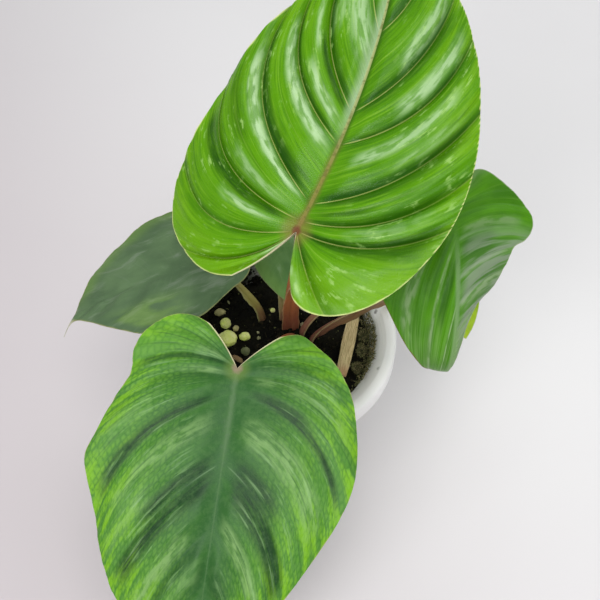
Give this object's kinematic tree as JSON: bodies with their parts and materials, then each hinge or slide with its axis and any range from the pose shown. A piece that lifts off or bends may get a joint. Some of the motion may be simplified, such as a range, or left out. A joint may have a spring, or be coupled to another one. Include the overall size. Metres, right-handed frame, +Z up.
{
  "type": "potted philodendron plowmanii",
  "caption": "Young creeping philodendron with quilted heart-shaped leaves on winged petioles, rooted in soil in a flared white plastic pot.",
  "frame": {"origin": "middle of the pot's flat base, on the surface that the pot stands on", "axes": "+Z up, out of the soil; -Y towards the large front leaf's tip; +X towards the leaf that leans over the rim"},
  "size_m": [0.2654, 0.2886, 0.3021],
  "materials": {
    "pot": "smooth off-white moulded plastic with faint rings inside the rim",
    "soil": "moist near-black potting mix with brown grains",
    "stem": "brown creeping stem and roots",
    "petiole_red": "smooth terracotta to olive, satin",
    "petiole_olive": "smooth olive with a cream wing edge, satin",
    "leaf_bright": "glossy bright green with sunken yellow-green veins",
    "leaf_dark": "satin deep green with pale stripes along the veins",
    "leaf_blue": "satin blue-green with greyish stripes",
    "pebble": "rough yellow-green pebble, mineral",
    "bark": "dry tan bark with long grain",
    "moss": "fibrous yellow-olive moss"
  },
  "bodies": {
    "root": {"pot": "pot", "soil": "soil", "stem": "stem", "petiole_top": "petiole_red", "petiole_front": "petiole_red", "petiole_left": "petiole_olive", "petiole_right": "petiole_red", "petiole_inner": "petiole_olive", "petiole_young": "petiole_olive", "leaf_top": "leaf_bright", "leaf_front": "leaf_dark", "leaf_left": "leaf_blue", "leaf_right": "leaf_dark", "leaf_inner": "leaf_blue", "leaf_young": "leaf_bright", "pebble_1": "pebble", "pebble_2": "pebble", "pebble_3": "pebble", "pebble_4": "pebble", "pebble_5": "pebble", "pebble_6": "pebble", "pebble_7": "pebble", "pebble_8": "pebble", "moss_1": "moss", "moss_2": "moss", "moss_3": "moss", "bark_1": "bark", "bark_2": "bark"}
  },
  "joints": []
}
